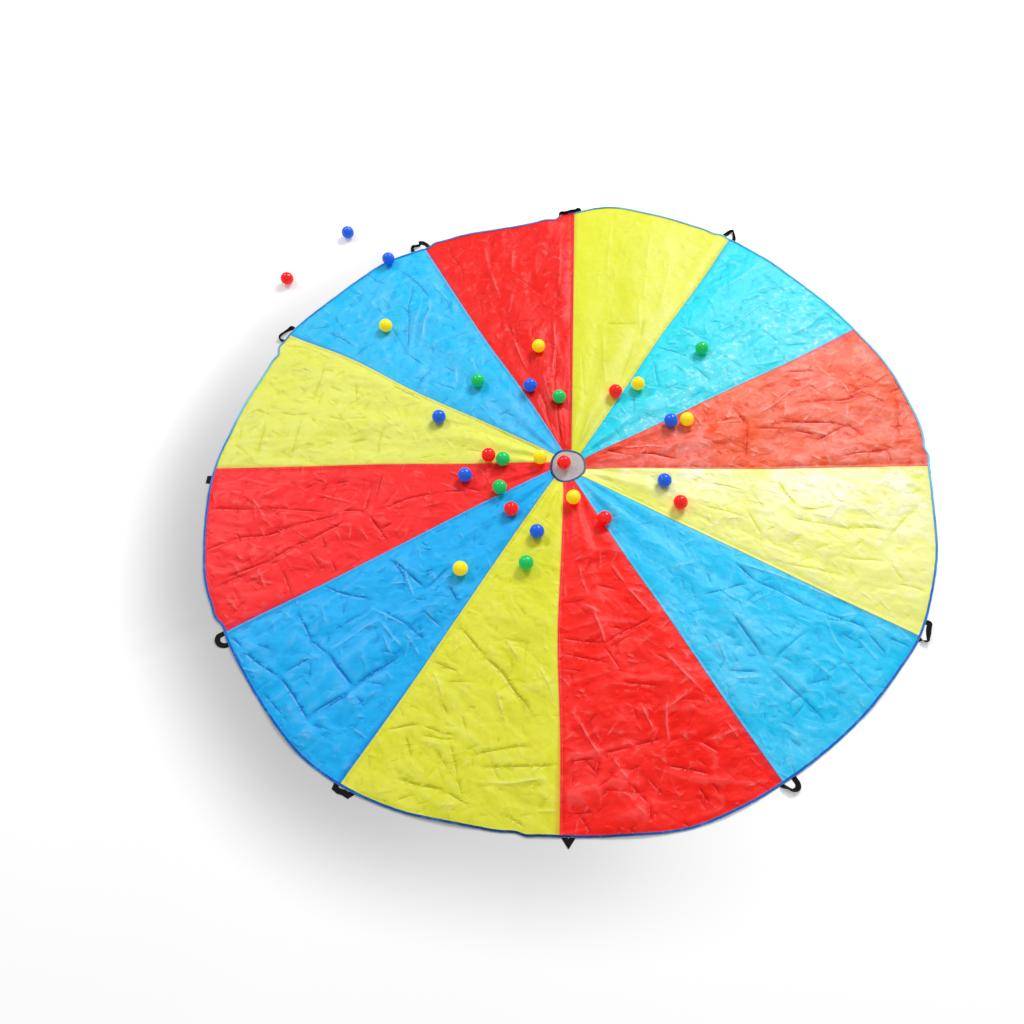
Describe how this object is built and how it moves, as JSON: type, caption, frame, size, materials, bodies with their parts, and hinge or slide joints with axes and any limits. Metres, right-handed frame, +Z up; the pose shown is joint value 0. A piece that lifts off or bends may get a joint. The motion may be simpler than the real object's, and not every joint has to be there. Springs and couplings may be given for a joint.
{
  "type": "play parachute",
  "caption": "Round play parachute of coloured cloth gores with a netted centre hole, a taped rim with webbing hand loops, and loose plastic balls lying on it.",
  "frame": {"origin": "on the floor, under the crossing of net strands at the middle of the canopy", "axes": "+Z up; +Y towards the seam at twelve o'clock, which is away from the camera of the picture; +X towards three o'clock"},
  "size_m": [3.02, 3.0918, 0.0677],
  "materials": {
    "yellow_cloth": "shiny coated polyester, crumpled",
    "blue_cloth": "shiny coated polyester, crumpled",
    "red_cloth": "shiny coated polyester, crumpled",
    "rim_tape": "woven tape",
    "hole_tape": "woven tape",
    "net_mesh": "fine woven mesh",
    "black_webbing": "ribbed webbing",
    "ball_red": "glossy moulded",
    "ball_yellow": "glossy moulded",
    "ball_green": "glossy moulded",
    "ball_blue": "glossy moulded"
  },
  "bodies": {
    "root": {"gore_01_blue": "blue_cloth", "gore_02_red": "red_cloth", "gore_03_yellow": "yellow_cloth", "gore_04_blue": "blue_cloth", "gore_05_red": "red_cloth", "gore_06_yellow": "yellow_cloth", "gore_07_blue": "blue_cloth", "gore_08_red": "red_cloth", "gore_09_yellow": "yellow_cloth", "gore_10_blue": "blue_cloth", "gore_11_red": "red_cloth", "gore_12_yellow": "yellow_cloth", "rim_binding_06": "rim_tape", "rim_binding_11": "rim_tape", "rim_binding_12": "rim_tape", "hole_binding": "hole_tape", "centre_net": "net_mesh", "handle_02": "black_webbing", "handle_03": "black_webbing"},
    "handle_01": {"handle_01": "black_webbing"},
    "handle_04": {"handle_04": "black_webbing"},
    "handle_05": {"handle_05": "black_webbing"},
    "handle_06": {"handle_06": "black_webbing"},
    "handle_07": {"handle_07": "black_webbing"},
    "handle_08": {"handle_08": "black_webbing"},
    "handle_09": {"handle_09": "black_webbing"},
    "handle_10": {"handle_10": "black_webbing"},
    "handle_11": {"handle_11": "black_webbing"},
    "handle_12": {"handle_12": "black_webbing"},
    "ball_01": {"ball_01_blue": "ball_blue"},
    "ball_02": {"ball_02_red": "ball_red"},
    "ball_03": {"ball_03_blue": "ball_blue"},
    "ball_04": {"ball_04_yellow": "ball_yellow"},
    "ball_05": {"ball_05_green": "ball_green"},
    "ball_06": {"ball_06_blue": "ball_blue"},
    "ball_07": {"ball_07_yellow": "ball_yellow"},
    "ball_08": {"ball_08_blue": "ball_blue"},
    "ball_09": {"ball_09_green": "ball_green"},
    "ball_10": {"ball_10_red": "ball_red"},
    "ball_11": {"ball_11_yellow": "ball_yellow"},
    "ball_12": {"ball_12_green": "ball_green"},
    "ball_13": {"ball_13_blue": "ball_blue"},
    "ball_14": {"ball_14_yellow": "ball_yellow"},
    "ball_15": {"ball_15_red": "ball_red"},
    "ball_16": {"ball_16_green": "ball_green"},
    "ball_17": {"ball_17_yellow": "ball_yellow"},
    "ball_18": {"ball_18_red": "ball_red"},
    "ball_19": {"ball_19_blue": "ball_blue"},
    "ball_20": {"ball_20_green": "ball_green"},
    "ball_21": {"ball_21_yellow": "ball_yellow"},
    "ball_22": {"ball_22_red": "ball_red"},
    "ball_23": {"ball_23_red": "ball_red"},
    "ball_24": {"ball_24_blue": "ball_blue"},
    "ball_25": {"ball_25_red": "ball_red"},
    "ball_26": {"ball_26_blue": "ball_blue"},
    "ball_27": {"ball_27_green": "ball_green"},
    "ball_28": {"ball_28_yellow": "ball_yellow"}
  },
  "joints": [
    {"name": "handle_01_fold", "type": "hinge", "parent": "root", "child": "handle_01", "pos_m": [0.78, 1.34401, 0.003], "axis": [0.8278, -0.561, 0], "range_deg": [0, 135]},
    {"name": "handle_04_fold", "type": "hinge", "parent": "root", "child": "handle_04", "pos_m": [1.3258, -0.74521, 0.003], "axis": [-0.4793, -0.8777, 0], "range_deg": [0, 90]},
    {"name": "handle_05_fold", "type": "hinge", "parent": "root", "child": "handle_05", "pos_m": [0.74686, -1.30469, 0.003], "axis": [-0.8483, -0.5296, 0], "range_deg": [0, 120]},
    {"name": "handle_06_fold", "type": "hinge", "parent": "root", "child": "handle_06", "pos_m": [-0.01078, -1.49216, 0.003], "axis": [-1, 0.0059, 0], "range_deg": [0, 135]},
    {"name": "handle_07_fold", "type": "hinge", "parent": "root", "child": "handle_07", "pos_m": [-0.78128, -1.33014, 0.003], "axis": [-0.8913, 0.4534, 0], "range_deg": [0, 135]},
    {"name": "handle_08_fold", "type": "hinge", "parent": "root", "child": "handle_08", "pos_m": [-1.29618, -0.77777, 0.003], "axis": [-0.5295, 0.8483, 0], "range_deg": [0, 135]},
    {"name": "handle_09_fold", "type": "hinge", "parent": "root", "child": "handle_09", "pos_m": [-1.49226, -0.06918, 0.003], "axis": [-0.0098, 1, 0], "range_deg": [0, 90]},
    {"name": "handle_10_fold", "type": "hinge", "parent": "root", "child": "handle_10", "pos_m": [-1.29542, 0.71777, 0.003], "axis": [0.4433, 0.8964, 0], "range_deg": [0, 120]},
    {"name": "handle_11_fold", "type": "hinge", "parent": "root", "child": "handle_11", "pos_m": [-0.73558, 1.26987, 0.003], "axis": [0.8786, 0.4775, 0], "range_deg": [0, 135]},
    {"name": "handle_12_fold", "type": "hinge", "parent": "root", "child": "handle_12", "pos_m": [-0.00247, 1.52023, 0.003], "axis": [0.9533, 0.302, 0], "range_deg": [0, 90]},
    {"name": "ball_01_lift", "type": "slide", "parent": "root", "child": "ball_01", "axis": [0, 0, 1], "range_m": [0, 0.25]},
    {"name": "ball_02_lift", "type": "slide", "parent": "root", "child": "ball_02", "axis": [0, 0, 1], "range_m": [0, 0.25]},
    {"name": "ball_03_lift", "type": "slide", "parent": "root", "child": "ball_03", "axis": [0, 0, 1], "range_m": [0, 0.25]},
    {"name": "ball_04_lift", "type": "slide", "parent": "root", "child": "ball_04", "axis": [0, 0, 1], "range_m": [0, 0.25]},
    {"name": "ball_05_lift", "type": "slide", "parent": "root", "child": "ball_05", "axis": [0, 0, 1], "range_m": [0, 0.25]},
    {"name": "ball_06_lift", "type": "slide", "parent": "root", "child": "ball_06", "axis": [0, 0, 1], "range_m": [0, 0.25]},
    {"name": "ball_07_lift", "type": "slide", "parent": "root", "child": "ball_07", "axis": [0, 0, 1], "range_m": [0, 0.25]},
    {"name": "ball_08_lift", "type": "slide", "parent": "root", "child": "ball_08", "axis": [0, 0, 1], "range_m": [0, 0.25]},
    {"name": "ball_09_lift", "type": "slide", "parent": "root", "child": "ball_09", "axis": [0, 0, 1], "range_m": [0, 0.25]},
    {"name": "ball_10_lift", "type": "slide", "parent": "root", "child": "ball_10", "axis": [0, 0, 1], "range_m": [0, 0.25]},
    {"name": "ball_11_lift", "type": "slide", "parent": "root", "child": "ball_11", "axis": [0, 0, 1], "range_m": [0, 0.25]},
    {"name": "ball_12_lift", "type": "slide", "parent": "root", "child": "ball_12", "axis": [0, 0, 1], "range_m": [0, 0.25]},
    {"name": "ball_13_lift", "type": "slide", "parent": "root", "child": "ball_13", "axis": [0, 0, 1], "range_m": [0, 0.25]},
    {"name": "ball_14_lift", "type": "slide", "parent": "root", "child": "ball_14", "axis": [0, 0, 1], "range_m": [0, 0.25]},
    {"name": "ball_15_lift", "type": "slide", "parent": "root", "child": "ball_15", "axis": [0, 0, 1], "range_m": [0, 0.25]},
    {"name": "ball_16_lift", "type": "slide", "parent": "root", "child": "ball_16", "axis": [0, 0, 1], "range_m": [0, 0.25]},
    {"name": "ball_17_lift", "type": "slide", "parent": "root", "child": "ball_17", "axis": [0, 0, 1], "range_m": [0, 0.25]},
    {"name": "ball_18_lift", "type": "slide", "parent": "root", "child": "ball_18", "axis": [0, 0, 1], "range_m": [0, 0.25]},
    {"name": "ball_19_lift", "type": "slide", "parent": "root", "child": "ball_19", "axis": [0, 0, 1], "range_m": [0, 0.25]},
    {"name": "ball_20_lift", "type": "slide", "parent": "root", "child": "ball_20", "axis": [0, 0, 1], "range_m": [0, 0.25]},
    {"name": "ball_21_lift", "type": "slide", "parent": "root", "child": "ball_21", "axis": [0, 0, 1], "range_m": [0, 0.25]},
    {"name": "ball_22_lift", "type": "slide", "parent": "root", "child": "ball_22", "axis": [0, 0, 1], "range_m": [0, 0.25]},
    {"name": "ball_23_lift", "type": "slide", "parent": "root", "child": "ball_23", "axis": [0, 0, 1], "range_m": [0, 0.25]},
    {"name": "ball_24_lift", "type": "slide", "parent": "root", "child": "ball_24", "axis": [0, 0, 1], "range_m": [0, 0.25]},
    {"name": "ball_25_lift", "type": "slide", "parent": "root", "child": "ball_25", "axis": [0, 0, 1], "range_m": [0, 0.25]},
    {"name": "ball_26_lift", "type": "slide", "parent": "root", "child": "ball_26", "axis": [0, 0, 1], "range_m": [0, 0.25]},
    {"name": "ball_27_lift", "type": "slide", "parent": "root", "child": "ball_27", "axis": [0, 0, 1], "range_m": [0, 0.25]},
    {"name": "ball_28_lift", "type": "slide", "parent": "root", "child": "ball_28", "axis": [0, 0, 1], "range_m": [0, 0.25]}
  ]
}
